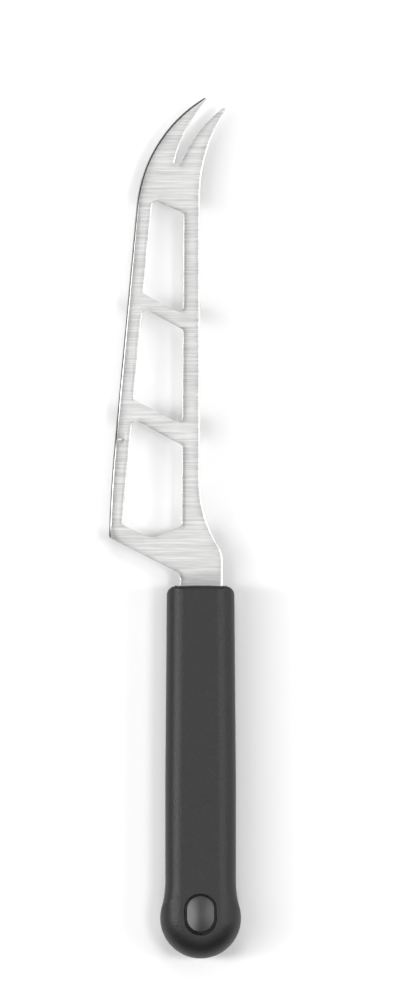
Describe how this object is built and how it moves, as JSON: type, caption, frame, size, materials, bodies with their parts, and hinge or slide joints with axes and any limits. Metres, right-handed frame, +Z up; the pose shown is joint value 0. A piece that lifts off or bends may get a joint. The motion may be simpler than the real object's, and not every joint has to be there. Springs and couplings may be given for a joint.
{
  "type": "cheese knife",
  "caption": "Cheese knife with a pierced stamped steel blade, a curved forked tip and a straight matt black moulded handle with a hanging hole.",
  "frame": {"origin": "middle of the knife's box at table height, with the knife lying flat", "axes": "+Y from the butt to the forked tip, +X from the cutting edge to the spine, +Z up from the table"},
  "size_m": [0.0415, 0.2704, 0.018],
  "materials": {
    "steel": "brushed",
    "black_plastic": "matte"
  },
  "bodies": {
    "root": {"blade": "steel", "handle": "black_plastic"}
  },
  "joints": []
}
